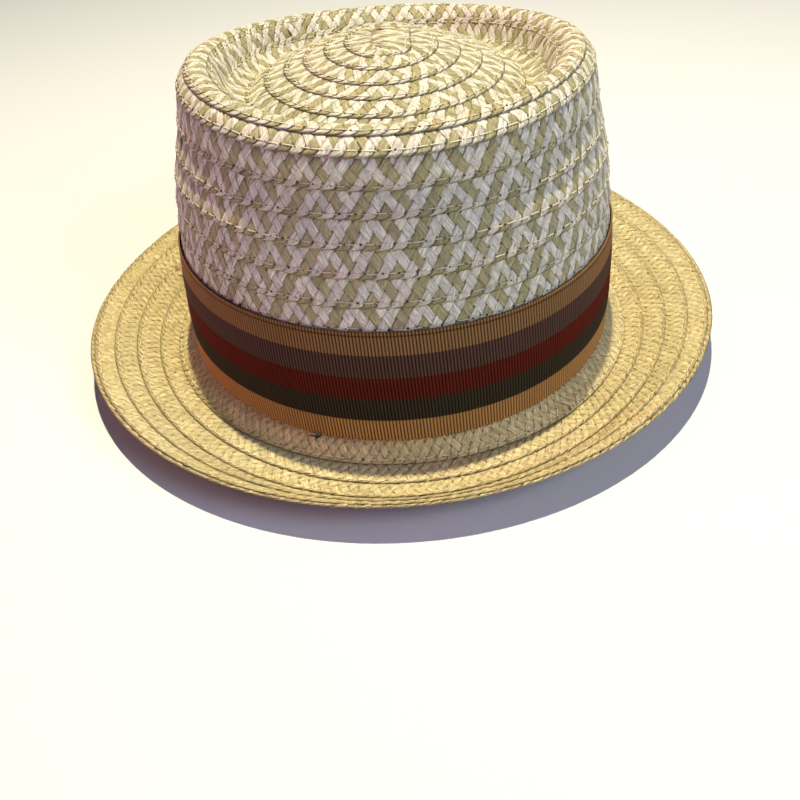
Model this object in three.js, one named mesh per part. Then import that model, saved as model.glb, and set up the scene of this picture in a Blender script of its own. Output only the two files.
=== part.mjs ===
// Pork pie hat of sewn straw plait: a two-tone crown, a natural brim and a striped ribbon round the crown's foot.
// Millimetres, +Z up, +Y to the wearer's front, +X to the wearer's right. It rests on the underside of the brim.
import * as THREE from "three";

// Plan: every ring is an oval, whose stretch is how much further it reaches front and back than at the sides.
const stepsRound = 56;
const footReach = 86.5;
const footStretch = 16;

// Plait: each row laps over the next one outward, and its outer edge stands proud.
const plaitPitch = 9.1;
const plaitThickness = 2;
const edgeRise = 0.9;
const crownInset = plaitThickness - edgeRise / 2;

// Outer edges of the crown's rows, as distances along its shape from the middle of the tip. Below the last one the
// ribbon covers the rows, which go on at the plain pitch.
const crownEdges = [12.4, 21.5, 30.7, 40.1, 49.7, 58, 67, 76, 86.3, 91.7, 100.5, 109.8, 119.2, 128.1, 137.7];
const lapStep = 0.3;
const shortestRow = 2;

// Between these distances the shape turns sharply, so a row bows between its edges.
const turnStart = 50;
const turnEnd = 100;
const rowBow = 0.6;

// Levels: the foot of the crown and the top of the rim, above the surface that the hat rests on.
const footLevel = 13;
const rimLevel = 117;
const clearance = 0.3;

// The crown as it was blocked: it leans a little forward, stands higher at the back, its rim is a slight saddle,
// and towards the rim its front is narrower than its back. The saddle and the taper come in between these bounds.
const forwardLean = 3;
const backRise = 0.05;
const saddleRise = 2.3;
const saddleReaches = [40, 70];
const saddleLevels = [88, 108];
const frontTaper = 0.17;
const taperReaches = [58, 72];
const taperLevels = [72, 108];

// Ribbon round the crown's foot.
const ribbonWidth = 41.5;
const ribbonThickness = 0.6;
const ribbonBulge = 0.7;
const ribbonFoot = 12.6;

// The crown's outside, from the middle of the tip down to the foot: reach at the side of the head, level, stretch.
const crownShape = [
  { reach: 0, level: 121, stretch: 0 },
  { reach: 12.2, level: 120.1, stretch: 12.5 },
  { reach: 21, level: 118, stretch: 14.5 },
  { reach: 29.7, level: 115.1, stretch: 15.2 },
  { reach: 38.7, level: 112, stretch: 15.5 },
  { reach: 47.3, level: 108.2, stretch: 15.8 },
  { reach: 54.6, level: 103, stretch: 15.8 },
  { reach: 60.2, level: 106.4, stretch: 15.8 },
  { reach: 64.6, level: 114, stretch: 16 },
  { reach: 69.6, level: rimLevel, stretch: 16.8 },
  { reach: 74.6, level: 115.1, stretch: 18 },
  { reach: 77.6, level: 109.6, stretch: 19.6 },
  { reach: 78.8, level: 101, stretch: 17 },
  { reach: 81, level: 91.2, stretch: 16.2 },
  { reach: 83.3, level: 81.2, stretch: footStretch },
  { reach: 84.8, level: 68.2, stretch: footStretch },
  { reach: 85.5, level: 55.2, stretch: footStretch },
  { reach: footReach - edgeRise, level: footLevel, stretch: footStretch },
];

// The brim's upper side, row edge by row edge: reach and level at the sides, at the back and at the front.
// The share says how much of the brim's twist and of the lift of its right side a row has.
const brimTwist = -4;
const brimRightLift = 1;
const brimRows = [
  { share: 0, reach: 95.2, level: 2.8, backReach: 104.7, backLevel: 2.2, frontReach: 104.7, frontLevel: 2.2 },
  { share: 0.15, reach: 103.3, level: 6.8, backReach: 114.2, backLevel: 2.5, frontReach: 113.4, frontLevel: 5 },
  { share: 0.4, reach: 112, level: 10.4, backReach: 123.6, backLevel: 4.8, frontReach: 121.4, frontLevel: 10.6 },
  { share: 0.7, reach: 120.4, level: 13.4, backReach: 130.9, backLevel: 9.8, frontReach: 127.8, frontLevel: 18.6 },
  { share: 1, reach: 129.8, level: 15.4, backReach: 138.8, backLevel: 13.8, frontReach: 133.4, frontLevel: 27 },
];
const brimLapStep = 0.5;
const edgeRoll = 0.3;
const undersideShift = 0.4;

// Collar inside the crown's foot, and the flat ring that the hat rests on.
const collarTop = 25;
const collarThickness = 1.6;
const collarInnerFoot = 11;
const restWidth = 4.5;

// A closed skin from rings of points: each ring joins the next, and the last joins the first.
// A ring of one point closes the skin at the axis.
function skinFromRings(rings) {
  const points = rings.flat();
  const starts = [];
  let count = 0;
  for (const ring of rings) {
    starts.push(count);
    count += ring.length;
  }
  const triangles = [];
  const joinRings = (a, b) => {
    for (let i = 0; i < stepsRound; i++) {
      const next = (i + 1) % stepsRound;
      if (rings[b].length === 1) triangles.push(starts[a] + i, starts[a] + next, starts[b]);
      else if (rings[a].length === 1) triangles.push(starts[a], starts[b] + next, starts[b] + i);
      else {
        triangles.push(starts[a] + i, starts[a] + next, starts[b] + next);
        triangles.push(starts[a] + i, starts[b] + next, starts[b] + i);
      }
    }
  };
  for (let r = 0; r + 1 < rings.length; r++) joinRings(r, r + 1);
  if (rings[0].length > 1) joinRings(rings.length - 1, 0);
  const geometry = new THREE.BufferGeometry();
  geometry.setAttribute("position", new THREE.Float32BufferAttribute(points.flat(), 3));
  geometry.setIndex(triangles);
  geometry.computeVertexNormals();
  return geometry;
}

// One ring of the crown, or of what follows its outside.
function crownRing({ reach, level, stretch }) {
  const { smoothstep } = THREE.MathUtils;
  const raised = (level - footLevel) / (rimLevel - footLevel);
  const shift = forwardLean * raised;
  if (reach === 0) return [[0, shift, level]];
  const saddle = saddleRise * smoothstep(reach, ...saddleReaches) * smoothstep(level, ...saddleLevels);
  const taper = frontTaper * smoothstep(reach, ...taperReaches) * smoothstep(level, ...taperLevels);
  const ring = [];
  for (let i = 0; i < stepsRound; i++) {
    const angle = (2 * Math.PI * i) / stepsRound;
    const front = Math.max(Math.sin(angle), 0);
    const x = reach * Math.cos(angle) * (1 - taper * front * front);
    const y = (reach + stretch) * Math.sin(angle) + shift;
    ring.push([x, y, level - backRise * raised * y + saddle * Math.cos(2 * angle)]);
  }
  return ring;
}

// One ring of the brim, from its side, back and front values.
function brimRing({ share, reach, level, backReach, backLevel, frontReach, frontLevel }) {
  const ring = [];
  const twist = THREE.MathUtils.degToRad(brimTwist * share);
  for (let i = 0; i < stepsRound; i++) {
    const angle = (2 * Math.PI * i) / stepsRound;
    const front = Math.sin(angle) > 0;
    const side = (1 + Math.cos(2 * angle)) / 2;
    const x = reach * Math.cos(angle);
    const y = (front ? frontReach : backReach) * Math.sin(angle);
    const lift = brimRightLift * share * Math.cos(angle);
    ring.push([
      x * Math.cos(twist) - y * Math.sin(twist),
      x * Math.sin(twist) + y * Math.cos(twist),
      side * level + (1 - side) * (front ? frontLevel : backLevel) + lift,
    ]);
  }
  return ring;
}

// A row edge moved outward and up, its level kept above the ground.
function movedRow(row, outward, up) {
  return {
    share: row.share,
    reach: row.reach + outward,
    level: Math.max(row.level + up, 0),
    backReach: row.backReach + outward,
    backLevel: Math.max(row.backLevel + up, 0),
    frontReach: row.frontReach + outward,
    frontLevel: Math.max(row.frontLevel + up, 0),
  };
}

// The crown's shape as a smooth curve through its table.
const crownCurve = new THREE.CatmullRomCurve3(
  crownShape.map(({ reach, level, stretch }) => new THREE.Vector3(reach, level, stretch)),
  false,
  "centripetal"
);

// Distances along the crown's shape are measured in its half plane, so the stretch adds no length.
const curveSteps = 900;
const curvePoints = crownCurve.getPoints(curveSteps);
const curveDistances = [0];
for (let i = 1; i <= curveSteps; i++) {
  const { x, y } = curvePoints[i - 1];
  curveDistances.push(curveDistances[i - 1] + Math.hypot(curvePoints[i].x - x, curvePoints[i].y - y));
}
const crownLength = curveDistances.at(-1);

// A point on the crown's shape, a distance along it from the tip, moved out by an offset.
function onCrown(distance, offset) {
  const after = curveDistances.findIndex((reached) => reached >= distance);
  const i = after < 1 ? Math.max(after, 0) + 1 : after;
  const share = (distance - curveDistances[i - 1]) / (curveDistances[i] - curveDistances[i - 1]);
  const point = curvePoints[i - 1].clone().lerp(curvePoints[i], share);
  const along = curvePoints[i].clone().sub(curvePoints[i - 1]);
  const length = Math.hypot(along.x, along.y);
  return {
    reach: point.x - (along.y / length) * offset,
    level: point.y + (along.x / length) * offset,
    stretch: point.z,
  };
}

// Outside of the crown: rows that rise to a proud edge and step down to the next row.
function crownOutside() {
  const edges = [...crownEdges];
  while (edges.at(-1) < crownLength) edges.push(edges.at(-1) + plaitPitch);
  const profile = [{ reach: 0, level: crownShape[0].level + edgeRise / 2, stretch: 0 }];
  let start = 0;
  for (const edge of edges) {
    const end = Math.min(edge, crownLength);
    if (start > 0) profile.push(onCrown(start + lapStep, 0));
    if (start > turnStart && start < turnEnd) profile.push(onCrown((start + end) / 2, edgeRise * rowBow));
    if (end - start > shortestRow) profile.push(onCrown(end, edgeRise));
    start = edge;
  }
  const foot = profile.at(-1);
  foot.reach = footReach;
  foot.level = footLevel;
  return profile;
}

// Inside of the crown: a smooth lining surface one plait thickness in.
function crownInside() {
  const steps = 17;
  const profile = [];
  for (let i = 0; i < steps; i++) {
    const distance = crownLength * (1 - i / steps);
    profile.push(onCrown(distance, -crownInset));
  }
  profile[0].level = footLevel;
  profile.push({ reach: 0, level: crownShape[0].level - crownInset, stretch: 0 });
  return profile;
}

function makeCrown() {
  const outside = crownOutside().reverse();
  const inside = crownInside().reverse();
  // From the tip inside, down to the foot, then up outside to the tip.
  return skinFromRings([...inside, ...outside].map(crownRing));
}

function makeBrim() {
  const seat = brimRows[0];
  const edge = brimRows.at(-1);
  // Collar inside the crown's foot: its inside, its top edge, and its outside down past the foot.
  const collarReach = onCrown(crownLength, -crownInset).reach - clearance;
  const collarRing = (reach, level) => crownRing({ reach, level, stretch: footStretch });
  const collar = [
    collarRing(collarReach - collarThickness, collarInnerFoot),
    collarRing(collarReach - collarThickness, collarTop),
    collarRing(collarReach, collarTop),
    collarRing(collarReach, footLevel - 2 * clearance),
  ];
  // Base row, then the brim's rows, each stepping down from its edge to the next.
  const rows = [movedRow(seat, 0, edgeRise)];
  for (let r = 1; r < brimRows.length; r++) {
    rows.push(movedRow(brimRows[r - 1], brimLapStep, 0));
    rows.push(movedRow(brimRows[r], 0, edgeRise));
  }
  // Underside: from the edge back to the flat that the hat rests on.
  rows.push(movedRow(edge, edgeRoll, edgeRise - plaitThickness));
  for (const row of brimRows.slice(1, -1).reverse()) rows.push(movedRow(row, undersideShift, -plaitThickness));
  rows.push(movedRow(seat, restWidth / 2, -seat.level));
  rows.push(movedRow(seat, -restWidth / 2, -seat.level));
  return skinFromRings([...collar, ...rows.map(brimRing)].reverse());
}

// Ribbon: it follows the wall over the row edges, with a slight bulge at mid width.
function makeRibbon() {
  const wallTop = crownShape.at(-2);
  const ribbonRow = (share, thickness) => {
    const level = ribbonFoot + ribbonWidth * share;
    const wallShare = (level - footLevel) / (wallTop.level - footLevel);
    const wall = THREE.MathUtils.lerp(footReach, wallTop.reach + edgeRise, wallShare);
    const bulge = ribbonBulge * Math.sin(Math.PI * share);
    return crownRing({ reach: wall + clearance + bulge + thickness, level, stretch: footStretch });
  };
  const shares = [0, 0.5, 1]; // foot, middle and top of the ribbon
  const inner = shares.map((share) => ribbonRow(share, 0));
  const outer = shares.map((share) => ribbonRow(share, ribbonThickness));
  return skinFromRings([...outer, ...inner.reverse()]);
}

function addPiece(group, name, geometry, color, roughness) {
  const material = new THREE.MeshStandardMaterial({ color, roughness, metalness: 0 });
  const mesh = new THREE.Mesh(geometry, material);
  mesh.name = name;
  group.add(mesh);
}

const hat = new THREE.Group();
addPiece(hat, "crown", makeCrown(), 0xd9cfa0, 0.7);
addPiece(hat, "brim", makeBrim(), 0xd8b86a, 0.7);
addPiece(hat, "hat_band", makeRibbon(), 0x6b3a26, 0.8);

// The origin is at the middle of the hat's length and width, on the surface that it rests on.
const middle = new THREE.Box3().setFromObject(hat).getCenter(new THREE.Vector3());
hat.position.set(-middle.x, -middle.y, 0);

export default hat;
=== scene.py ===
import math
import bpy
import numpy as np
from mathutils import Matrix, Vector


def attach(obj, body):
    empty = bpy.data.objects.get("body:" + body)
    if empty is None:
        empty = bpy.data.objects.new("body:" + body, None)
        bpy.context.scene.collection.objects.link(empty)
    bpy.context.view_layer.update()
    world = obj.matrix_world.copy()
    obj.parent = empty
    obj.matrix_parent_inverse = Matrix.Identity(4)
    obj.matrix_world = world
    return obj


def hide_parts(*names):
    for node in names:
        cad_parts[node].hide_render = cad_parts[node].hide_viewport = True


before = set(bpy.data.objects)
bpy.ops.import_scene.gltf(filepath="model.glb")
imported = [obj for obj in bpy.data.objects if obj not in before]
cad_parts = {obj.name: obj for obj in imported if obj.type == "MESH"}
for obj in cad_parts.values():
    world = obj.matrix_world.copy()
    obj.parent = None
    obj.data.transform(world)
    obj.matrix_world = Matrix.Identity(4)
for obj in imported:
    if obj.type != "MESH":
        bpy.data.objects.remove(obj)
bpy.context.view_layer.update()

bpy.ops.object.select_all(action="DESELECT")
scene = bpy.context.scene
dice = np.random.default_rng(11)
mm = 0.001  # all shapes are worked out in millimetres, and turned into metres when a mesh is made
fullTurn = 2 * math.pi

# The blocked shape, as in the CAD model.
crownPlan = {
    "footLevel": 13.0, "rimLevel": 117.0, "forwardLean": 3.0, "backRise": 0.05,
    "saddleRise": 2.3, "saddleReaches": (40, 70), "saddleLevels": (88, 108),
    "frontTaper": 0.17, "taperReaches": (58, 72), "taperLevels": (72, 108),
    "shift": np.array([0.021, 2.676, 0.0]),  # from the crown's plan centre to the middle of the whole hat
    "curveSteps": 50,
}
# Side reach, level and front-to-back stretch, from the middle of the tip to the foot.
crownShape = [
    (0, 121, 0), (12.2, 120.1, 12.5), (21, 118, 14.5), (29.7, 115.1, 15.2), (38.7, 112, 15.5),
    (47.3, 108.2, 15.8), (54.6, 103, 15.8), (60.2, 106.4, 15.8), (64.6, 114, 16), (69.6, 117, 16.8),
    (74.6, 115.1, 18), (77.6, 109.6, 19.6), (78.8, 101, 17), (81, 91.2, 16.2), (83.3, 81.2, 16),
    (84.8, 68.2, 16), (85.5, 55.2, 16), (85.6, 13, 16),
]
# Where each round's outer edge runs, as a distance along that shape at the back of the hat.
crownEdges = [
    3.5, 13.7, 21.7, 30.4, 38.6, 47.2, 56.8, 66.5, 75.3, 84.9, 90.8, 102.1, 112, 121.4, 130.6, 140.2,
    149.4, 158.5, 167.4, 176.2, 185, 190.5, 190.5,
]

brimPlan = {
    "twist": -4.0, "rightLift": 1.0, "footReach": 83.75, "footStretch": 16, "footLevel": 12.4, "curveSteps": 30,
}
# The brim's row edges: share of the twist, then reach and level at the sides, at the back and at the front.
brimShape = [
    (0, 95.2, 2.8, 103.1, 2.2, 104.7, 2.2), (0.15, 103.3, 6.8, 114.9, 2.5, 113.4, 5),
    (0.4, 112, 10.4, 125, 4.8, 121.4, 10.6), (0.7, 120.4, 13.4, 132.4, 9.8, 127.8, 18.6),
    (1, 129.8, 15.4, 139.2, 13.8, 133.4, 27),
]
# The edges of the brim's rounds, counted in rows from the seat. The last two make the doubled outer edge.
brimEdges = [0, 0, 1, 2, 3, 3.82, 4]


def smoothStep(x, low, high):
    t = np.clip((np.asarray(x, float) - low) / (high - low), 0, 1)
    return t * t * (3 - 2 * t)


def unit(v):
    return v / np.maximum(np.linalg.norm(v, axis=-1, keepdims=True), 1e-9)


def curveThrough(rows, steps):  # a centripetal curve through the rows of a table
    p = np.array(rows, float)
    p = np.vstack([2 * p[0] - p[1], p, 2 * p[-1] - p[-2]])
    out = []
    for i in range(1, len(p) - 2):
        a, b, c, d = p[i - 1:i + 3]
        t1 = np.linalg.norm(b - a) ** 0.5
        t2 = t1 + np.linalg.norm(c - b) ** 0.5
        t3 = t2 + np.linalg.norm(d - c) ** 0.5
        t = np.linspace(t1, t2, steps, endpoint=False)[:, None]
        ab = (t1 - t) / t1 * a + t / t1 * b
        bc = (t2 - t) / (t2 - t1) * b + (t - t1) / (t2 - t1) * c
        cd = (t3 - t) / (t3 - t2) * c + (t - t2) / (t3 - t2) * d
        abc = (t2 - t) / t2 * ab + t / t2 * bc
        bcd = (t3 - t) / (t3 - t1) * bc + (t - t1) / (t3 - t1) * cd
        out.append((t2 - t) / (t2 - t1) * abc + (t - t1) / (t2 - t1) * bcd)
    out.append(p[-2:-1])
    return np.concatenate(out)


crownCurve = curveThrough(crownShape, crownPlan["curveSteps"])
crownSteps = np.hypot(*np.diff(crownCurve[:, :2], axis=0).T)
crownDistances = np.concatenate([[0], np.cumsum(crownSteps)])


# A point on the crown. The angle runs from the wearer's right to the front.
def crownAt(reach, level, stretch, angle):
    plan = crownPlan
    raised = (level - plan["footLevel"]) / (plan["rimLevel"] - plan["footLevel"])
    saddle = plan["saddleRise"] * smoothStep(reach, *plan["saddleReaches"])
    saddle = saddle * smoothStep(level, *plan["saddleLevels"])
    taper = plan["frontTaper"] * smoothStep(reach, *plan["taperReaches"])
    taper = taper * smoothStep(level, *plan["taperLevels"])
    front = np.maximum(np.sin(angle), 0)
    x = reach * np.cos(angle) * (1 - taper * front * front)
    y = (reach + stretch) * np.sin(angle) + plan["forwardLean"] * raised
    z = level - plan["backRise"] * raised * y + saddle * np.cos(2 * angle)
    return np.stack([x, y, z], -1) + plan["shift"]


def onCrown(distance, angle):  # the same, by the distance along the crown's shape from the middle of the tip
    reach, level, stretch = (np.interp(distance, crownDistances, crownCurve[:, i]) for i in range(3))
    return crownAt(reach, level, stretch, angle)


brimCurve = curveThrough(brimShape, brimPlan["curveSteps"])
brimCounts = np.arange(len(brimCurve)) / brimPlan["curveSteps"]


def onBrim(count, angle):  # a point on the brim's upper side, counted in rows from the seat
    def column(i):
        inner, outer = brimCurve[0, i], brimCurve[1, i]
        value = np.interp(count, brimCounts, brimCurve[:, i])
        return value + np.minimum(count, 0) * (outer - inner) / brimCounts[1]
    share, reach, level, backReach, backLevel, frontReach, frontLevel = (column(i) for i in range(7))
    front = np.sin(angle) > 0
    side = (1 + np.cos(2 * angle)) / 2
    twist = np.radians(brimPlan["twist"]) * share
    x = reach * np.cos(angle)
    y = np.where(front, frontReach, backReach) * np.sin(angle)
    z = side * level + (1 - side) * np.where(front, frontLevel, backLevel)
    z = z + brimPlan["rightLift"] * share * np.cos(angle)
    turned = np.stack([x * np.cos(twist) - y * np.sin(twist), x * np.sin(twist) + y * np.cos(twist), z], -1)
    return turned + crownPlan["shift"]


def onBase(count, angle):  # a point on the base row, which drops from the crown's foot at -1 to the seat at 0
    plan = brimPlan
    foot = crownAt(*(np.full_like(angle, plan[k]) for k in ("footReach", "footLevel", "footStretch")), angle)
    seat = onBrim(np.zeros_like(angle), angle)
    share = -np.asarray(count)[..., None]
    return seat * (1 - share) + foot * share


def makeMesh(name, points, faces, attributes=None, bakeMap=None):
    mesh = bpy.data.meshes.new(name)
    mesh.vertices.add(len(points))
    mesh.vertices.foreach_set("co", (np.asarray(points) * mm).astype(np.float32).ravel())
    faces = np.asarray(faces, np.int32)
    mesh.loops.add(faces.size)
    mesh.loops.foreach_set("vertex_index", faces.ravel())
    mesh.polygons.add(len(faces))
    mesh.polygons.foreach_set("loop_start", np.arange(0, faces.size, faces.shape[1], dtype=np.int32))
    for label, values in (attributes or {}).items():
        layer = mesh.attributes.new(label, "FLOAT_VECTOR", "POINT")
        layer.data.foreach_set("vector", np.asarray(values, np.float32).ravel())
    mesh.update(calc_edges=True)
    mesh.validate()
    mesh.polygons.foreach_set("use_smooth", np.ones(len(faces), bool))
    if bakeMap is not None:
        layer = mesh.uv_layers.new(name="OFBake")
        layer.data.foreach_set("uv", bakeMap.astype(np.float32).ravel())
    piece = bpy.data.objects.new(name, mesh)
    scene.collection.objects.link(piece)
    corners = faces.shape[1]
    print(name, len(faces) * (corners - 2), "triangles")
    return piece


def repeatFaces(faces, count, points):  # the same faces for each of a number of like shapes
    return (faces[None] + (np.arange(count) * points)[:, None, None]).reshape(-1, faces.shape[1])


def tubeFaces(rings, sides, turned=False):  # the faces round a tube of rings of points
    ring = np.arange(sides)
    nextPoint = np.roll(ring, -1)
    band = np.stack([ring, nextPoint, nextPoint + sides, ring + sides], -1)
    return repeatFaces(band[:, [0, 3, 2, 1]] if turned else band, rings - 1, sides)


# A plait of five strands. Each strand comes down one way, folds at the row's edge and goes up the other way,
# over one and under one. Heights in the row are counted up from its edge, and places in crossings from it.
crossingLevels = (0, 2.2, 5.4, 8.8, 12.0, 14.3)
drawnPitch = 4.4  # the spacing of the strands that those levels are given for
slantStretch = 1.7  # how much longer a strand is than the row is high, as it runs slantwise
# A strand runs a little way along the edge as it folds.
foldPlaces, foldDrifts = (0, 0.12, 0.3, 0.75, 1, 5), (0, 0.42, 0.72, 0.92, 1, 5)
# Way (-1 down, 0 at the fold, 1 up), place, how far the section follows the crossing strand's slant, over (+1)
# or under (-1), half width, thickness, and how far the section leans under its neighbour.
strandSections = [
    (-1, 5.0, 0, 0.2, 1.04, 0.8, 0), (-1, 4.35, 1, 0.8, 1, 1, 0), (-1, 3.65, 1, 0.8, 1, 1, 0),
    (-1, 3.0, 1, -1, 1, 0.8, 0), (-1, 2.42, 1, 0.72, 1, 1, 0), (-1, 2.0, 1, 1, 1, 1.15, 0),
    (-1, 1.58, 1, 0.72, 1, 1, 0), (-1, 0.95, 0.8, -1, 1, 0.8, 0), (-1, 0.35, 0.2, -1, 1.06, 0.8, 0),
    (0, 0, 0, 0, 1.05, 1.0, 0.05), (1, 0.3, 0, 0.7, 1.06, 1.15, 0.1), (1, 0.78, 0.3, 0.4, 1.04, 0.85, 0.06),
    (1, 1.12, 0.9, 1, 1, 1.05, 0), (1, 1.44, 1, 0.72, 1, 1, 0), (1, 2.0, 1, -1, 1, 0.8, 0),
    (1, 2.58, 1, 0.72, 1, 1, 0), (1, 3.0, 1, 1, 1, 1.15, 0), (1, 3.42, 1, 0.72, 1, 1, 0),
    (1, 4.0, 1, -1, 1, 0.8, 0), (1, 4.8, 0.2, -0.9, 1.02, 0.8, 0),
]
# Where the plait is hidden, fewer sections carry the same run.
plainPlaces = (0, 0.95, 1.12, 2.0, 3.0, 4.0, 4.35, 5.0)
plainSections = [section for section in strandSections if section[1] in plainPlaces]
ringAcross = np.array([-1, -0.6, 0.6, 1, 0.6, -0.6])
ringUp = np.array([0, 1, 1, 0, -1, -1.0])
ringSides = len(ringUp)
rowHeights = np.arange(-1, 15.01, 0.5)
edgeColumn = int(np.argmin(np.abs(rowHeights)))  # the column of a row's grid that lies on its edge


class Row:  # a strip of plait laid on the blocked shape: stations along its edge, and heights up from it
    def __init__(self, stations, points, lifts, heights):
        self.along = np.concatenate([[0], np.cumsum(np.linalg.norm(np.diff(stations, axis=0), axis=1))])
        self.length = self.along[-1]
        self.points = points
        self.lifts = lifts
        self.heights = heights
        alongway = np.gradient(points, axis=0)
        upward = np.gradient(points, axis=1)
        self.normals = unit(np.cross(upward, alongway))

    def at(self, u, v, h):  # the point u along the edge, v up the row and h out from it
        i = np.interp(u, self.along, np.arange(len(self.along)))
        j = np.interp(v, self.heights, np.arange(len(self.heights)))
        i0 = np.clip(i.astype(int), 0, len(self.along) - 2)
        j0 = np.clip(j.astype(int), 0, len(self.heights) - 2)
        a, b = (i - i0)[..., None], (j - j0)[..., None]

        def mixed(grid):
            return ((grid[i0, j0] * (1 - a) + grid[i0 + 1, j0] * a) * (1 - b)
                    + (grid[i0, j0 + 1] * (1 - a) + grid[i0 + 1, j0 + 1] * a) * b)
        normal = unit(mixed(self.normals))
        lift = mixed(self.lifts[..., None])[..., 0] + h
        return mixed(self.points) + normal * lift[..., None]


# How the straw is cut and woven.
crownCut = {
    "pitch": 4.4, "half": 0.995,  # the strands' spacing, and their half width as a share of half of it
    "thick": 0.2, "thickSpread": 0.1, "crumple": 0.03, "drift": 0.045,
    "lift": 0.2, "liftSpread": 0.12,  # how far a strand rises over the others and dips under them
    "pull": 0.12, "pullReach": 0.6, "stitchHeight": 1.75,  # the dent along the line of stitches
    "ridge": 0.14, "ridgeHeight": 0.4, "ridgeReach": 0.8, "leanDrop": 0.9,  # the raised fold along the edge
    "olive": (2, 4), "edgeShade": 0.35,  # which of each five strands are dyed, and how much painted shade darkens their sides
}
brimCut = dict(crownCut, pitch=3.85, half=1.0, thick=0.27, crumple=0.07, drift=0.03, pull=0.25, ridge=0.42,
               olive=(), edgeShade=0.45)
# The bake map lays the strands side by side, each unrolled in a cell of its own with its end faces beside it.
cellPlan = {
    "sideAt": (0.02, 0.05), "sideSize": (0.94, 0.9), "endAt": (0.975, 0.1), "endSize": (0.015, 0.15),
    "endStep": 0.2, "strandsPerSquare": 4,
}


def strandFaces(count, rings):
    lastRing = (rings - 1) * ringSides
    caps = np.array([[0, 5, 2, 1], [5, 4, 3, 2]])
    strand = np.concatenate([tubeFaces(rings, ringSides), caps, lastRing + caps[:, ::-1]])
    return repeatFaces(strand, count, rings * ringSides)


def strandCells(count, rings):
    plan = cellPlan
    columns = max(int(math.sqrt(count / plan["strandsPerSquare"])), 1)
    lines = int(math.ceil(count / columns))
    sideFaces = (rings - 1) * ringSides
    cell = np.zeros((sideFaces + 4, 4, 2))
    a, b = np.meshgrid(np.arange(rings - 1), np.arange(ringSides), indexing="ij")
    for corner, (da, db) in enumerate(((0, 0), (0, 1), (1, 1), (1, 0))):
        cell[:sideFaces, corner, 0] = ((a + da) / (rings - 1) * plan["sideSize"][0] + plan["sideAt"][0]).ravel()
        cell[:sideFaces, corner, 1] = ((b + db) / ringSides * plan["sideSize"][1] + plan["sideAt"][1]).ravel()
    for k in range(4):
        endAt = (plan["endAt"][0], plan["endAt"][1] + plan["endStep"] * k)
        cell[sideFaces + k] = np.array([(0, 0), (1, 0), (1, 1), (0, 1)]) * plan["endSize"] + endAt
    index = np.arange(count)
    corner = np.stack([index % columns, index // columns], -1)[:, None, None, :]
    return (cell[None] + corner) / (columns, lines)


def strandPiece(name, row, first, last, cut, sections=strandSections):
    step = cut["pitch"] / 2  # from one crossing to the next, along the row
    scale = cut["pitch"] / drawnPitch
    way, place, follow, over, half, thick, lean = (np.array(c, float)[None, :, None] for c in zip(*sections))
    number = np.arange(int(math.ceil(first / cut["pitch"])), int(last / cut["pitch"]))[:, None, None]
    count, rings = len(number), len(sections)
    wobble = dice.normal(0, 1, (count, 6))
    crumple = dice.normal(0, 1, (count, rings, ringSides))
    side = ringAcross[None, None, :] * half * cut["half"]
    drift = wobble[:, 1, None, None] * cut["drift"]
    n = np.maximum(place + way * follow * side / 2, 0)
    across = 2 * number + drift + side - way * np.interp(n, foldPlaces, foldDrifts)
    turned = np.where(way == 0, 0, -way)  # a strand turns its other face out as it folds
    rise = ringUp[None, None, :] * thick * cut["thick"]
    u = across * step
    v = np.interp(n, np.arange(len(crossingLevels)), crossingLevels) * scale + np.where(way == 0, rise, 0)
    v = v - lean * side * step * cut["leanDrop"]
    pulled = cut["pull"] * np.exp(-((v / scale - cut["stitchHeight"]) / cut["pullReach"]) ** 2)
    h = cut["lift"] * over * (1 + cut["liftSpread"] * wobble[:, 2, None, None]) - pulled - lean * side
    h = h + cut["ridge"] * np.exp(-((v / scale - cut["ridgeHeight"]) / cut["ridgeReach"]) ** 2)
    h = h + rise * turned * (1 + cut["thickSpread"] * crumple) + cut["crumple"] * crumple

    def spread(*parts):  # each part on every point, three values to a point
        return np.stack([np.broadcast_to(x, (count, rings, ringSides)) for x in parts], -1).reshape(-1, 3)
    points = row.at(*(np.broadcast_to(x, (count, rings, ringSides)) for x in (u, v, h)))
    # Length along the strand, side on it and a seed for its creases.
    run = np.hypot(np.diff(place[0, :, 0]), 0.01) * step * slantStretch
    length = np.concatenate([[0], np.cumsum(run)])[None, :, None]
    weave = spread(length, side * step, wobble[:, 3, None, None] * 3)
    # Its dye, a random shade of straw of its own, and painted shade where it dives under its neighbours and
    # along its sides.
    olive = np.isin(number % 5, cut["olive"]).astype(float)
    depthShade = np.clip(over * 0.5 + 0.5, 0, 1) * (1 - cut["edgeShade"] * (np.abs(ringAcross) > 0.9))
    toneAndShade = spread(olive, wobble[:, 4, None, None], depthShade)
    return makeMesh(name, points.reshape(-1, 3), strandFaces(count, rings), {"weave": weave, "toneAndShade": toneAndShade},
                    strandCells(count, rings))


# The crown's plait starts as a short straight strip on top of the tip, turns at its near end and spirals out.
crownSpiral = {
    "rounds": 21, "tipRounds": 7.4, "rimRounds": 11.2, "seenRounds": 15.9,  # all, then where each piece ends
    "startGap": 8, "endGap": 12, "stationStep": 1.2, "ovalness": 8,
    "farShiftInner": 0.3, "farShift": 0.85, "farShiftRounds": (2, 6),  # the rounds step mostly on the far side
    "tipLift": 0.12, "edgeLift": 0.45, "tipLapLift": -0.3, "lapLift": -0.45, "outerRounds": (9.3, 10),
    "lapShares": (-0.2, 1.7), "leastGap": 1.5, "leastDistance": 0.4,
}
tipStrip = {
    "right": 9.5, "farEnd": 27, "pivot": (-4.8, -4.7), "width": 14.3, "corner": 0.18, "swingStep": 6.0,
    "lift": 0.6, "endLift": 0.1, "liftRun": (2, 14), "settle": (0.2, 1.6), "join": 0.25,
    "domeReach": 44, "domeUnit": 40,
}


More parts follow.
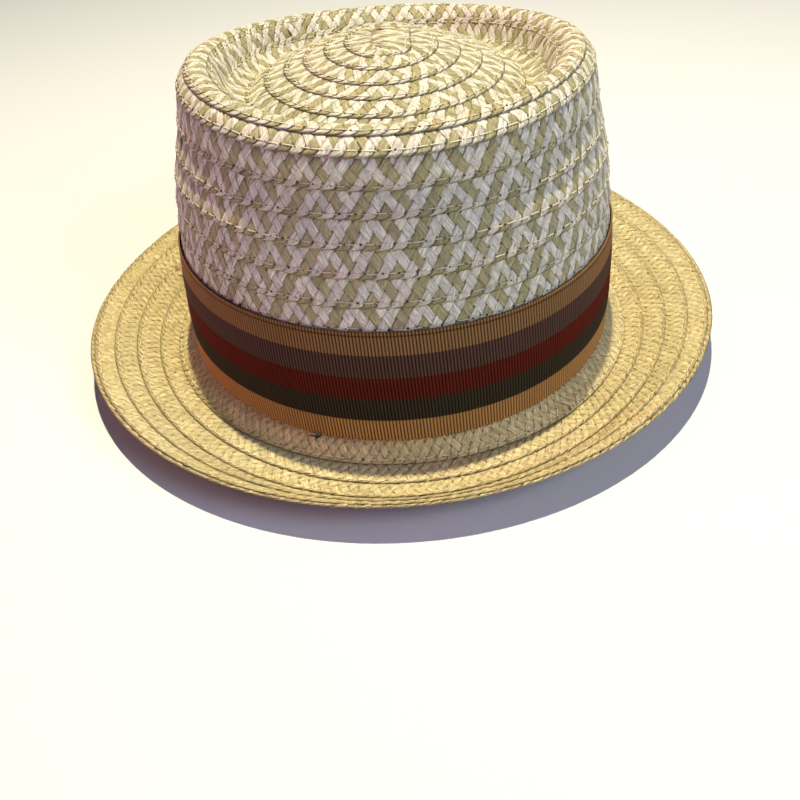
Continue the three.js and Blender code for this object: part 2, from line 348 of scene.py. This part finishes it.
def tipLevel(x, y):  # the domed tip's height, as a polynomial fitted to the blocked shape
    def terms(points):
        x, y = points[..., 0] / tipStrip["domeUnit"], points[..., 1] / tipStrip["domeUnit"]
        return np.stack([x ** i * y ** j for i in range(0, 5, 2) for j in range(5 - i)], -1)
    distances, angles = np.linspace(0, tipStrip["domeReach"], 40), np.linspace(0, fullTurn, 48, endpoint=False)
    dome = onCrown(*np.meshgrid(distances, angles)).reshape(-1, 3)
    weights = np.linalg.lstsq(terms(dome), dome[:, 2], rcond=None)[0]
    return terms(np.stack([x, y], -1)) @ weights


def spiralTurns():  # how far round each station of the spiral lies
    turns, turn = [], tipStrip["join"]
    while turn < fullTurn * crownSpiral["rounds"]:
        turns.append(turn)
        edge = np.interp(1 + turn / fullTurn, range(len(crownEdges)), crownEdges)
        reach = np.interp(edge, crownDistances, crownCurve[:, 0])
        turn += crownSpiral["stationStep"] / (reach + crownSpiral["ovalness"])
    return np.array(turns)


def spiralPart(turn):
    plan = crownSpiral
    rounds = 1 + turn / fullTurn
    far = plan["farShiftInner"] + (plan["farShift"] - plan["farShiftInner"]) * smoothStep(
        rounds, *plan["farShiftRounds"])
    count = rounds - far * np.sin(turn) / fullTurn
    edges = curveThrough(list(enumerate(crownEdges)), 12)
    edge = np.interp(count, edges[:, 0], edges[:, 1])
    before = np.interp(count - 1, edges[:, 0], edges[:, 1])
    gap = np.maximum(edge - before, plan["leastGap"])
    angle = -math.pi / 2 - turn
    distance = np.maximum(edge[:, None] - rowHeights[None, :], plan["leastDistance"])
    points = onCrown(distance, np.broadcast_to(angle[:, None], distance.shape))
    share = np.clip(rowHeights[None, :] / gap[:, None], *plan["lapShares"])
    outward = smoothStep(rounds, *plan["outerRounds"])[:, None]
    edgeLift = plan["tipLift"] + (plan["edgeLift"] - plan["tipLift"]) * outward
    lapLift = plan["tipLapLift"] + (plan["lapLift"] - plan["tipLapLift"]) * outward
    return onCrown(edge, angle), points, edgeLift + (lapLift - edgeLift) * share


def stripPart(spiralLifts):  # the straight strip, then its turn about the pivot, which settles into the spiral
    strip = tipStrip
    heights = rowHeights[None, :]
    straight = np.arange(strip["farEnd"], strip["pivot"][1], -crownSpiral["stationStep"])
    swing = np.radians(np.arange(0, -90.1, -strip["swingStep"]))
    square = 1 + strip["corner"] * np.sin(2 * swing)[:, None] ** 2
    reach = (strip["width"] - heights) * square
    x = np.concatenate([strip["right"] - heights + 0 * straight[:, None],
                        strip["pivot"][0] + reach * np.cos(swing)[:, None]])
    y = np.concatenate([straight[:, None] + 0 * heights, strip["pivot"][1] + reach * np.sin(swing)[:, None]])
    run = np.concatenate([strip["farEnd"] - straight, np.full(len(swing), strip["liftRun"][1])])
    raised = strip["endLift"] + (strip["lift"] - strip["endLift"]) * smoothStep(run, *strip["liftRun"])[:, None]
    settled = np.concatenate([np.zeros(len(straight)), smoothStep(-swing, *strip["settle"])])[:, None]
    lifts = raised * (1 - settled) + spiralLifts[None, :] * settled
    return np.stack([x, y, tipLevel(x, y)], -1), lifts


def crownRow():
    turn = spiralTurns()
    stations, points, lifts = spiralPart(turn)
    stripPoints, stripLifts = stripPart(lifts[0])
    stations = np.concatenate([stripPoints[:, edgeColumn], stations])
    turns = np.concatenate([np.linspace(-1, 0, len(stripPoints)), turn])
    points, lifts = np.concatenate([stripPoints, points]), np.concatenate([stripLifts, lifts])
    return Row(stations, points, lifts, rowHeights), turns


crownPlait, crownTurns = crownRow()
print("crown plait", round(crownPlait.length), "mm long")


def alongCrown(rounds):
    return np.interp(fullTurn * rounds, crownTurns, crownPlait.along)


tipEnd, rimEnd, wallEnd = (alongCrown(crownSpiral[k]) for k in ("tipRounds", "rimRounds", "seenRounds"))
footEnd = crownPlait.length - crownSpiral["endGap"]
crownTip = strandPiece("crown_tip_plait", crownPlait, crownSpiral["startGap"], tipEnd, crownCut)
crownRim = strandPiece("crown_rim_plait", crownPlait, tipEnd, rimEnd, crownCut)
crownWall = strandPiece("crown_wall_plait", crownPlait, rimEnd, wallEnd, crownCut)
crownFoot = strandPiece("crown_foot_plait", crownPlait, wallEnd, footEnd, crownCut, plainSections)

# The brim's plait starts at the side, laps over itself at the front and ends in a doubled edge.
brimSpiral = {
    "rounds": 6, "start": 115, "innerEnd": 1190, "stationStep": 0.5, "endGap": 4,  # places are in degrees
    "crossFrom": 130, "crossTo": 230,  # where each round steps out to the next
    "edgeLift": 0.32, "lapLift": -0.28, "lapShares": (-0.2, 1.5), "leastGap": 1.5,
    "lastDrop": 0.85, "lastDropRounds": (5, 5.5),  # the last round tucks under the one before
    "baseRound": 0.02, "baseLift": 0.9, "baseSlope": 0.05, "outerFrom": 3.5, "outerLimit": 4.05,
    "lowest": 1.2,  # keeps the hidden inner rows off the ground
}


def brimRow():
    plan = brimSpiral
    turn = np.radians(np.arange(plan["start"], 360 * plan["rounds"] + plan["crossFrom"], plan["stationStep"]))
    theta = np.degrees(turn) % 360
    count = np.floor(np.degrees(turn) / 360) + smoothStep(theta, plan["crossFrom"], plan["crossTo"])
    edge = np.interp(count, range(len(brimEdges)), brimEdges)
    before = np.interp(count - 1, range(len(brimEdges)), brimEdges)
    angle = -math.pi / 2 - turn
    # Widths of the rows in millimetres turn heights into counts of rows.
    width = np.linalg.norm(onBrim(edge + 0.5, angle) - onBrim(edge - 0.5, angle), axis=-1)
    outerWidth = np.linalg.norm(onBrim(edge, angle) - onBrim(edge - 1, angle), axis=-1)
    width = np.where(edge > plan["outerFrom"], outerWidth, width)
    baseTop, baseFoot = onBase(-np.ones_like(angle), angle), onBase(np.zeros_like(angle), angle)
    baseWidth = np.linalg.norm(baseTop - baseFoot, axis=-1)
    grid = edge[:, None] - rowHeights[None, :] / width[:, None]
    wide = np.broadcast_to(angle[:, None], grid.shape)
    points = onBrim(np.minimum(grid, plan["outerLimit"]), wide)
    points[..., 2] = np.maximum(points[..., 2], plan["lowest"])
    isBase = (edge < plan["baseRound"])[:, None]
    basePoints = onBase(edge[:, None] - rowHeights[None, :] / baseWidth[:, None], wide)
    points = np.where(isBase[..., None], basePoints, points)
    share = np.clip(rowHeights[None, :] / np.maximum((edge - before) * width, plan["leastGap"])[:, None],
                    *plan["lapShares"])
    edgeLift = (plan["edgeLift"] - plan["lastDrop"] * smoothStep(count, *plan["lastDropRounds"]))[:, None]
    lifts = edgeLift + (plan["lapLift"] - edgeLift) * share
    lifts = np.where(isBase, plan["baseLift"] - plan["baseSlope"] * rowHeights[None, :], lifts)
    return Row(np.where(isBase, baseFoot, onBrim(edge, angle)), points, lifts, rowHeights), turn


# Inside the foot of the crown a hidden round of the same plait makes the brim's collar.
collarPlan = {
    "reach": 83.0, "stretch": 16, "foot": 12.2, "sweep": 372, "stationStep": 0.5, "drop": 1.2, "endGap": 4,
}


def collarRow():
    plan = collarPlan
    turn = np.radians(np.arange(0, plan["sweep"], plan["stationStep"]))
    level = plan["foot"] + np.broadcast_to(rowHeights[None, :], (len(turn), len(rowHeights)))
    points = crownAt(np.full_like(level, plan["reach"]), level, plan["stretch"], -math.pi / 2 - turn[:, None])
    lifts = np.broadcast_to(-plan["drop"] * (turn / turn[-1])[:, None], level.shape)
    return Row(points[:, edgeColumn], points, lifts, rowHeights)


brimPlait, brimTurns = brimRow()
collar = collarRow()
print("brim plait", round(brimPlait.length), "mm long")


def alongBrim(degrees):
    return np.interp(math.radians(degrees), brimTurns, brimPlait.along)


innerStart, innerEnd = alongBrim(brimSpiral["start"]), alongBrim(brimSpiral["innerEnd"])
outerEnd = brimPlait.length - brimSpiral["endGap"]
collarStart, collarEnd = collarPlan["endGap"], collar.length - collarPlan["endGap"]
brimInner = strandPiece("brim_inner_plait", brimPlait, innerStart, innerEnd, brimCut)
brimOuter = strandPiece("brim_outer_plait", brimPlait, innerEnd, outerEnd, brimCut)
brimCollar = strandPiece("brim_collar_plait", collar, collarStart, collarEnd, brimCut, plainSections)

# Stitching: a thread lies along each row from hole to hole, on the line where the rows are sewn together.
stitchPlan = {
    "firstAt": 20, "pitch": 5.3, "pitchSpread": 0.35, "long": 4.5, "longSpread": 0.12, "radius": 0.19,
    "height": 1.8, "heightSpread": 0.12, "slantSpread": 0.06,  # up the row
    "top": 0.37, "topSpread": 0.03, "sag": 0.06, "dive": -0.3,  # out from it, and into it at the ends
    "hole": 0.34, "holeSpread": 0.2, "holeStretch": 1.2, "holeRim": 0.08, "holeDip": 0.2, "holeBack": 0.4,
}
brimStitchPlan = dict(stitchPlan, firstAt=10, height=1.6, top=0.26, radius=0.2, hole=0.26)


def makeThreads(row, starts, plan):
    shares = np.array([0, 0.14, 0.5, 0.86, 1.0])
    shoulder = plan["top"] - plan["sag"]
    rises = np.array([plan["dive"], shoulder, plan["top"], shoulder, plan["dive"]])
    count, rings, sides = len(starts), len(shares), 4
    wobble = dice.normal(0, 1, (count, 4))
    u = starts[:, None] + shares[None, :] * plan["long"] * (1 + plan["longSpread"] * wobble[:, :1])
    v = plan["height"] + plan["heightSpread"] * wobble[:, 1:2]
    v = v + plan["slantSpread"] * wobble[:, 2:3] * (shares[None, :] - 0.5)
    h = rises[None, :] + plan["topSpread"] * wobble[:, 3:4]
    turn = np.arange(sides) * math.pi / 2
    u = np.broadcast_to(u[:, :, None], (count, rings, sides))
    v = v[:, :, None] + plan["radius"] * np.cos(turn)
    h = h[:, :, None] + plan["radius"] * np.sin(turn)
    points = row.at(u, v, h)
    cap = np.array([[0, 1, 2, 3]])
    thread = np.concatenate([tubeFaces(rings, sides, turned=True), cap, (rings - 1) * sides + cap[:, ::-1]])
    return points.reshape(-1, 3), repeatFaces(thread, count, rings * sides)


def makeHoles(row, places, plan):
    count = len(places)
    size = plan["hole"] * (1 + plan["holeSpread"] * dice.normal(0, 1, (count, 1)))
    turn = np.arange(6) * math.pi / 3
    u = places[:, None] + size * plan["holeStretch"] * np.concatenate([np.cos(turn), [0, 0]])
    v = plan["height"] + size * np.concatenate([np.sin(turn), [0, 0]])
    levels = [plan["top"] - plan["holeRim"]] * 6 + [plan["top"] - plan["holeDip"], plan["dive"]]
    points = row.at(u, v, np.broadcast_to(np.array(levels), (count, 8)))
    ring = np.arange(6)
    nextPoint = np.roll(ring, -1)
    dish = np.stack([nextPoint, ring, np.full(6, 6)], -1)
    under = np.stack([ring, nextPoint, np.full(6, 7)], -1)
    return points.reshape(-1, 3), repeatFaces(np.concatenate([dish, under]), count, 8)


def joinParts(parts):
    starts = np.cumsum([0] + [len(points) for points, _ in parts])
    faces = [faces + start for (_, faces), start in zip(parts, starts)]
    return np.concatenate([points for points, _ in parts]), np.concatenate(faces)


holes = []


def sewRow(name, row, last, plan):
    starts = np.arange(plan["firstAt"], last, plan["pitch"])
    starts = starts + dice.normal(0, plan["pitchSpread"], len(starts))
    piece = makeMesh(name, *makeThreads(row, starts, plan))
    holes.append(makeHoles(row, starts - plan["holeBack"], plan))
    print(name, len(starts), "stitches")
    return piece


crownStitching = sewRow("crown_stitching", crownPlait, wallEnd, stitchPlan)
brimSewnTo = brimPlait.length - brimStitchPlan["firstAt"]
brimStitching = sewRow("brim_stitching", brimPlait, brimSewnTo, brimStitchPlan)
needleHoles = makeMesh("needle_holes", *joinParts(holes))

# The ribbon: woven in ribs across its width, wrapped round the crown's foot, with one end lapped on the other.
ribbonPlan = {
    "width": 41.5, "long": 628.0, "thick": 0.5, "foot": 12.6, "wallTop": 55.2, "stretch": 16.0,
    "reachFoot": 86.8, "reachTop": 86.7, "bulge": 0.7, "lapAt": 2.25, "lapTurn": 0.16, "lapRise": 0.55,
    "lapRamp": (0.2, 0.02), "ribs": 484, "ribShape": (-1, 0.8, 1), "relief": 0.25, "slant": 0.035,
    # Across the width: the share at each line of points, and how far that line stands out.
    "shares": (0, 0.008, 0.024, 0.04, 0.33, 0.67, 0.955, 0.968, 0.976, 0.992, 1),
    "swells": (-0.35, 0, 0.05, 0, 0, 0, 0, -0.09, 0, 0.02, -0.35),
    "bakeCells": ((0.38, 0.6), (0.3, -0.28)), "bakeLength": (0.001, 0.998),  # the front above the back
}


def ribbonAt(turn, share, out):
    plan = ribbonPlan
    level = plan["foot"] + plan["width"] * share
    wall = (level - plan["foot"]) / (plan["wallTop"] - plan["foot"])
    reach = plan["reachFoot"] + (plan["reachTop"] - plan["reachFoot"]) * wall
    reach = reach + plan["bulge"] * np.sin(math.pi * share)
    lapFrom, lapTo = (fullTurn - x for x in plan["lapRamp"])
    lapped = plan["lapRise"] * smoothStep(turn, lapFrom, lapTo)
    return crownAt(reach + lapped + out, level, plan["stretch"], plan["lapAt"] - turn)


def makeRibbon():
    plan = ribbonPlan
    columns = plan["ribs"] * len(plan["ribShape"])
    turn = np.linspace(0, fullTurn + plan["lapTurn"], columns + 1)
    share, swell = np.array(plan["shares"]), np.array(plan["swells"])
    ridge = np.array(plan["ribShape"])[np.arange(columns + 1) % len(plan["ribShape"])]
    slanted = turn[:, None] + plan["slant"] * (share[None, :] - 0.5)
    shares = np.broadcast_to(share[None, :], slanted.shape)
    outer = ribbonAt(slanted, shares, plan["thick"] + plan["relief"] * ridge[:, None] + swell[None, :])
    inner = ribbonAt(slanted, shares, 0)
    rows = len(share)
    back = (columns + 1) * rows  # the back's points follow the front's
    a, b = np.meshgrid(np.arange(columns), np.arange(rows - 1), indexing="ij")
    corner = (a * rows + b).ravel()
    front = np.stack([corner, corner + 1, corner + rows + 1, corner + rows], -1)
    behind = (front + back)[:, ::-1]
    low = np.arange(columns) * rows
    high = low + rows - 1
    foot = np.stack([low, low + rows, back + low + rows, back + low], -1)
    top = np.stack([high, back + high, back + high + rows, high + rows], -1)
    first = np.arange(rows - 1)
    last = columns * rows + first
    startEnd = np.stack([first, back + first, back + first + 1, first + 1], -1)
    lapEnd = np.stack([last, last + 1, back + last + 1, back + last], -1)
    faces = np.concatenate([front, behind, foot, top, startEnd, lapEnd])
    # Length along the ribbon, share of its width, and ridge or furrow, which sets painted shade in the furrows
    # between the ribs.
    along = np.tile(np.repeat(turn / turn[-1] * plan["long"], rows), 2)
    depthShade = np.concatenate([np.repeat(ridge, rows), np.full(back, -1.0)])
    weave = np.stack([along, np.tile(shares.ravel(), 2), depthShade], -1)
    height = np.concatenate([start + shares.ravel() * size for start, size in plan["bakeCells"]])
    start, size = plan["bakeLength"]
    flat = np.stack([along / plan["long"] * size + start, height], -1)
    points = np.concatenate([outer.reshape(-1, 3), inner.reshape(-1, 3)])
    return makeMesh("ribbon", points, faces, {"weave": weave}, flat[faces.ravel()])


ribbon = makeRibbon()

# Small dark stitches tack the ribbon's lower edge down, and one loose knot of the same thread lies on the brim.
tackPlan = dict(stitchPlan, pitch=2.1, pitchSpread=0.3, height=0.25, top=0.12, dive=-0.4, long=0.9, radius=0.14,
                endGap=4, lapGap=0.25, stations=500, out=0.1)
# Paths run sideways, up the steep side of the brim, and out from it.
knotPlan = {
    "at": (88.7, 12.2, 16.0, -1.918), "radius": 0.27,
    "sideways": (1, 0.06, 0), "up": (0, 0.35, 0.94), "out": (0, -0.94, 0.35),
    "loop": [(-2.3, 0.7, 0), (-1.2, 0.5, 0.2), (0, 0.1, 0.3), (0.9, 0.4, 0.5), (0.5, 1.0, 0.7),
             (-0.3, 0.5, 0.7), (0.1, -0.3, 0.5), (1.0, -0.1, 0.3), (2.0, 0.8, 0.2)],
    "tail": [(0.2, 0.4, 0.5), (0, -0.4, 0.3), (-0.2, -1.0, 0.1), (-0.1, -1.5, -0.2)],
}


def makeTacks():  # along a narrow row at the ribbon's lower edge
    plan = tackPlan
    turn = np.linspace(0, fullTurn - plan["lapGap"], plan["stations"])[:, None]
    heights = np.linspace(-1, 2, 4)
    turn, share = np.broadcast_arrays(turn, heights[None, :] / ribbonPlan["width"])
    points = ribbonAt(turn, share, ribbonPlan["thick"] + plan["out"])
    edgeRow = Row(points[:, 1], points, np.zeros(turn.shape), heights)
    starts = np.arange(plan["endGap"], edgeRow.length - plan["endGap"], plan["pitch"])
    starts = starts + dice.normal(0, plan["pitchSpread"], len(starts))
    print("ribbon tacks", len(starts))
    return makeThreads(edgeRow, starts, plan)


def makeCord(path, radius):  # a round thread along a path of points
    path = curveThrough(path, 5)
    ahead = unit(np.gradient(path, axis=0))
    side = unit(np.cross(ahead, np.array([0.02, 0.03, 1.0])))
    over = np.cross(side, ahead)
    sides = 6
    turn = np.arange(sides) * math.pi / 3
    size = np.full(len(path), radius)
    size[[0, -1]] = radius * 0.5
    points = path[:, None] + size[:, None, None] * (
        side[:, None] * np.cos(turn)[None, :, None] + over[:, None] * np.sin(turn)[None, :, None])
    caps = np.array([[0, 1, 2, 5], [2, 3, 4, 5]])
    faces = [tubeFaces(len(path), sides, turned=True), caps, (len(path) - 1) * sides + caps[:, ::-1]]
    return points.reshape(-1, 3), np.concatenate(faces)


def makeKnot():
    plan = knotPlan
    place = crownAt(*(np.array(x) for x in plan["at"]))
    sideways, up, out = (np.array(plan[k]) for k in ("sideways", "up", "out"))
    return [makeCord([place + x * sideways + y * up + z * out for x, y, z in plan[k]], plan["radius"])
            for k in ("loop", "tail")]


darkThread = makeMesh("dark_thread", *joinParts([makeTacks()] + makeKnot()))


def newMaterial(name):
    material = bpy.data.materials.new(name)
    material.use_nodes = True
    nodes, links = material.node_tree.nodes, material.node_tree.links

    def put(socket, value):  # a fixed value, or another node's output
        if isinstance(value, bpy.types.NodeSocket):
            links.new(value, socket)
        else:
            socket.default_value = value

    def node(kind, inputs=None, **settings):
        made = nodes.new(kind)
        for key, value in settings.items():
            setattr(made, key, value)
        for key, value in (inputs or {}).items():
            put(made.inputs[key], value)
        return made

    def sums(kind, a, b):
        return node("ShaderNodeMath", {0: a, 1: b}, operation=kind).outputs[0]

    def finish(**inputs):  # the shader's own sockets, such as Base_Color
        for key, value in inputs.items():
            put(nodes["Principled BSDF"].inputs[key.replace("_", " ")], value)
        return material
    return node, sums, finish


def splitAttribute(node, name):
    attribute = node("ShaderNodeAttribute", attribute_name=name)
    return node("ShaderNodeSeparateXYZ", {"Vector": attribute.outputs["Vector"]}).outputs


def colorRamp(node, factor, low, high, ends=(0.0, 1.0)):
    ramp = node("ShaderNodeValToRGB", {"Fac": factor})
    for element, position, color in zip(ramp.color_ramp.elements, ends, (low, high)):
        element.position = position
        element.color = (*color, 1)
    return ramp.outputs[0]


black, white = (0, 0, 0), (1, 1, 1)


def strawMaterial(name, plan):
    node, sums, finish = newMaterial(name)
    length, side, seed = splitAttribute(node, "weave")
    olive, strandShade, depthShade = splitAttribute(node, "toneAndShade")
    fine = node("ShaderNodeCombineXYZ", {"X": sums("MULTIPLY", length, plan["creaseLength"]),
                                         "Y": sums("MULTIPLY", side, plan["creasesAcross"]),
                                         "Z": sums("MULTIPLY", seed, plan["seedStep"])})
    creases = node("ShaderNodeTexNoise", {"Vector": fine.outputs[0], "Scale": 1.0, "Detail": 3.0,
                                          "Roughness": 0.55, "Distortion": 0.3}).outputs["Fac"]
    # Creases are thin lines, where the noise passes through its middle.
    away = sums("ABSOLUTE", sums("SUBTRACT", creases, 0.5), 0.0)
    smooth = colorRamp(node, away, black, white, (0.0, plan["creaseWidth"]))
    # Colour: pale or dyed straw, a shade of its own for each strand, with painted shade in the creases, where
    # it dives and along its sides.
    base = node("ShaderNodeMix", {"Factor": olive, "A": (*plan["pale"], 1), "B": (*plan["dyed"], 1)},
                data_type="RGBA")
    shade = sums("ADD", sums("MULTIPLY", strandShade, plan["shadeSpread"]), 1.0)
    # Painted shade darkens the thin crease lines.
    paintedCreaseShade = sums("ADD", sums("MULTIPLY", smooth, plan["creaseShade"]), 1 - plan["creaseShade"])
    factor = sums("MINIMUM", sums("MULTIPLY", shade, paintedCreaseShade), plan["brightest"])
    # Painted shade: a darker colour where the strand dives under others and along its sides.
    paintedShade = node("ShaderNodeMix", {"Factor": depthShade, "A": (*plan["paintedShade"], 1), "B": (*white, 1)}, data_type="RGBA")

    def multiplied(a, b):
        return node("ShaderNodeMix", {"Factor": 1.0, "A": a, "B": b}, data_type="RGBA",
                    blend_type="MULTIPLY").outputs["Result"]
    tinted = multiplied(base.outputs["Result"], paintedShade.outputs["Result"])
    scaled = node("ShaderNodeVectorMath", {"Vector": tinted, "Scale": factor}, operation="SCALE")
    place = node("ShaderNodeTexCoord").outputs["Object"]
    patch = node("ShaderNodeTexNoise", {"Vector": place, "Scale": plan["patchScale"], "Detail": 3.0})
    worn = colorRamp(node, patch.outputs["Fac"], plan["worn"], white, plan["patchRange"])
    furrow, crest = plan["rough"]
    rough = node("ShaderNodeMapRange", {"Value": creases, "To Min": furrow, "To Max": crest})
    height = sums("ADD", creases, sums("MULTIPLY", smooth, plan["creaseRelief"]))
    bump = node("ShaderNodeBump", {"Strength": plan["bump"], "Distance": 0.0003, "Height": height})
    return finish(Base_Color=multiplied(scaled.outputs[0], worn), Roughness=rough.outputs[0],
                  Specular_IOR_Level=0.45, Normal=bump.outputs[0])


# The third colour of each straw is painted shade, for where the strands dive under others and along their
# sides.
crownStrawPlan = {
    "pale": (0.86, 0.80, 0.66), "dyed": (0.49, 0.43, 0.22), "paintedShade": (0.64, 0.57, 0.42),
    "worn": (0.95, 0.94, 0.9), "rough": (0.62, 0.42), "bump": 0.9,
    "creasesAcross": 1.9, "creaseLength": 0.22, "creaseWidth": 0.08,
    "creaseShade": 0.4, "creaseRelief": 0.6, "seedStep": 7.3, "shadeSpread": 0.045, "brightest": 1.12,
    "patchScale": 60.0, "patchRange": (0.3, 0.55),
}
brimStrawPlan = dict(
    crownStrawPlan, pale=(0.85, 0.71, 0.378), dyed=(0.85, 0.71, 0.378), paintedShade=(0.56, 0.44, 0.25),
    worn=(0.94, 0.91, 0.84), rough=(0.5, 0.3), bump=1.0, creasesAcross=2.0, creaseWidth=0.07)
# Stripes from the lower edge up, a fifth of the width each.
ribbonColors = {
    "stripes": [(0.44, 0.235, 0.078), (0.044, 0.034, 0.02), (0.112, 0.016, 0.009), (0.094, 0.05, 0.034),
                (0.265, 0.138, 0.052)],
    # The rib values set painted shade, darker in the furrows between the ribs.
    "ragged": 0.006, "ribShade": 0.52, "ribMiddle": 0.56, "flecks": 0.5,
    "seam": (0.958, 0.975), "seamShade": 0.5,
}


def ribbonMaterial(name, plan):
    node, sums, finish = newMaterial(name)
    along, share, ridge = splitAttribute(node, "weave")
    # The stripes are warp threads, and their borders step a little from rib to rib.
    ragged = node("ShaderNodeTexNoise", {"W": along, "Scale": 1.1}, noise_dimensions="1D").outputs[0]
    place = sums("ADD", share, sums("MULTIPLY", sums("SUBTRACT", ragged, 0.5), plan["ragged"]))
    ramp = node("ShaderNodeValToRGB", {"Fac": place})
    ramp.color_ramp.interpolation = "CONSTANT"
    while len(ramp.color_ramp.elements) < len(plan["stripes"]):
        ramp.color_ramp.elements.new(0.5)
    for i, (element, color) in enumerate(zip(ramp.color_ramp.elements, plan["stripes"])):
        element.position = i / len(plan["stripes"])
        element.color = (*color, 1)
    # Fine yarns along the width, with painted shade between the ribs, and darker in the seam along the top
    # edge.
    yarn = node("ShaderNodeCombineXYZ", {"X": sums("MULTIPLY", along, 1.4),
                                         "Y": sums("MULTIPLY", share, 190.0)})
    fleck = node("ShaderNodeTexNoise", {"Vector": yarn.outputs[0], "Scale": 1.0, "Detail": 2.0}).outputs["Fac"]
    # Painted shade: the furrows between the ribs are darker.
    ribs = sums("ADD", sums("MULTIPLY", ridge, plan["ribShade"]), plan["ribMiddle"])
    seamFrom, seamTo = plan["seam"]
    seam = sums("MULTIPLY", sums("GREATER_THAN", share, seamFrom), sums("LESS_THAN", share, seamTo))
    shaded = sums("MULTIPLY", ribs, sums("SUBTRACT", 1.0, sums("MULTIPLY", seam, plan["seamShade"])))
    flecked = sums("ADD", sums("MULTIPLY", fleck, plan["flecks"]), 1 - plan["flecks"] / 2)
    scale = sums("MULTIPLY", shaded, flecked)
    color = node("ShaderNodeVectorMath", {"Vector": ramp.outputs[0], "Scale": scale}, operation="SCALE")
    bump = node("ShaderNodeBump", {"Strength": 0.35, "Distance": 0.0001, "Height": fleck})
    return finish(Base_Color=color.outputs[0], Roughness=0.6, Specular_IOR_Level=0.03, Normal=bump.outputs[0])


def threadMaterial(name, color, rough):
    node, _, finish = newMaterial(name)
    place = node("ShaderNodeTexCoord").outputs["Object"]
    fibre = node("ShaderNodeTexNoise", {"Vector": place, "Scale": 2500.0}).outputs["Fac"]
    twisted = colorRamp(node, fibre, [c * 0.75 for c in color], color)
    bump = node("ShaderNodeBump", {"Strength": 0.5, "Distance": 0.0001, "Height": fibre})
    return finish(Base_Color=twisted, Roughness=rough, Normal=bump.outputs[0])


crownStraw = strawMaterial("two_tone_straw", crownStrawPlan)
brimStraw = strawMaterial("natural_straw", brimStrawPlan)
for piece in (crownTip, crownRim, crownWall, crownFoot):
    piece.data.materials.append(crownStraw)
    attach(piece, "root")
for piece in (brimInner, brimOuter, brimCollar):
    piece.data.materials.append(brimStraw)
    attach(piece, "root")
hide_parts("crown")
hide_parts("brim")

ribbon.data.materials.append(ribbonMaterial("striped_grosgrain", ribbonColors))
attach(ribbon, "root")
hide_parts("hat_band")

for piece, *look in (
        (crownStitching, "cream_thread", (0.82, 0.72, 0.5), 0.35),
        (brimStitching, "straw_thread", (0.92, 0.82, 0.55), 0.3),
        (darkThread, "dark_thread", (0.03, 0.02, 0.016), 0.6),
        (needleHoles, "shadowed_straw", (0.09, 0.065, 0.035), 0.9)):
    piece.data.materials.append(threadMaterial(*look))
    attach(piece, "root")
print("materials done")

floorPlan = {"size": 40, "color": (0.66, 0.665, 0.68, 1), "rough": 0.8}
cameraPlan = {
    "place": (0.00835, -0.37705, 0.2271), "yaw": -0.0286, "pitch": 0.6194, "roll": -0.0619, "lens": 45.0,
    "sensor": 36, "nearest": 0.01,
}
lightPlans = {
    "key": {"place": (0.012, 0.08, 1.25), "target": (0, 0, 0.06), "size": 0.03, "power": 24,
            "color": (1.0, 0.915, 0.65), "spread": 180},
    "fill": {"place": (1.15, -1.03, 1.05), "target": (0, 0, 0.05), "size": 1.0, "power": 15.2,
             "color": (0.80, 0.92, 1.27), "spread": 180},
    "side": {"place": (-1.55, -0.3, 0.4), "target": (0, 0, 0.09), "size": 0.5, "power": 0.2,
             "color": (1.0, 0.16, 0.8), "spread": 24},
}
worldPlan = {"color": (0.84, 0.88, 1.11, 1), "strength": 0.11}


def layFloor(plan):
    bpy.ops.mesh.primitive_plane_add(size=plan["size"], location=(0, 0, 0))
    floor = bpy.context.object
    floor.name = "floor"
    _, _, finish = newMaterial("pale_floor")
    floor.data.materials.append(finish(Base_Color=plan["color"], Roughness=plan["rough"]))


def setCamera(plan):
    yaw, pitch, roll = plan["yaw"], plan["pitch"], plan["roll"]
    ahead = Vector((math.sin(yaw) * math.cos(pitch), math.cos(yaw) * math.cos(pitch), -math.sin(pitch)))
    right = Vector((math.cos(yaw), -math.sin(yaw), 0))
    over = right.cross(ahead)
    tiltedRight = right * math.cos(roll) + over * math.sin(roll)
    tiltedUp = over * math.cos(roll) - right * math.sin(roll)
    data = bpy.data.cameras.new("camera")
    data.lens = plan["lens"]
    data.sensor_width = plan["sensor"]
    data.clip_start = plan["nearest"]
    camera = bpy.data.objects.new("camera", data)
    scene.collection.objects.link(camera)
    turned = Matrix((tiltedRight, tiltedUp, -ahead)).transposed().to_4x4()
    camera.matrix_world = Matrix.Translation(plan["place"]) @ turned
    scene.camera = camera


def hangLight(name, plan):
    data = bpy.data.lights.new(name, "AREA")
    data.size = plan["size"]
    data.spread = math.radians(plan["spread"])
    data.energy = plan["power"]
    data.color = plan["color"]
    light = bpy.data.objects.new(name, data)
    scene.collection.objects.link(light)
    light.location = plan["place"]
    aim = Vector(plan["target"]) - Vector(plan["place"])
    light.rotation_euler = aim.to_track_quat("-Z", "Y").to_euler()


layFloor(floorPlan)
setCamera(cameraPlan)
for name, plan in lightPlans.items():
    hangLight(name, plan)
world = bpy.data.worlds.new("studio")
world.use_nodes = True
background = world.node_tree.nodes["Background"]
background.inputs["Color"].default_value = worldPlan["color"]
background.inputs["Strength"].default_value = worldPlan["strength"]
scene.world = world
scene.view_settings.view_transform = "Standard"
print("studio done")
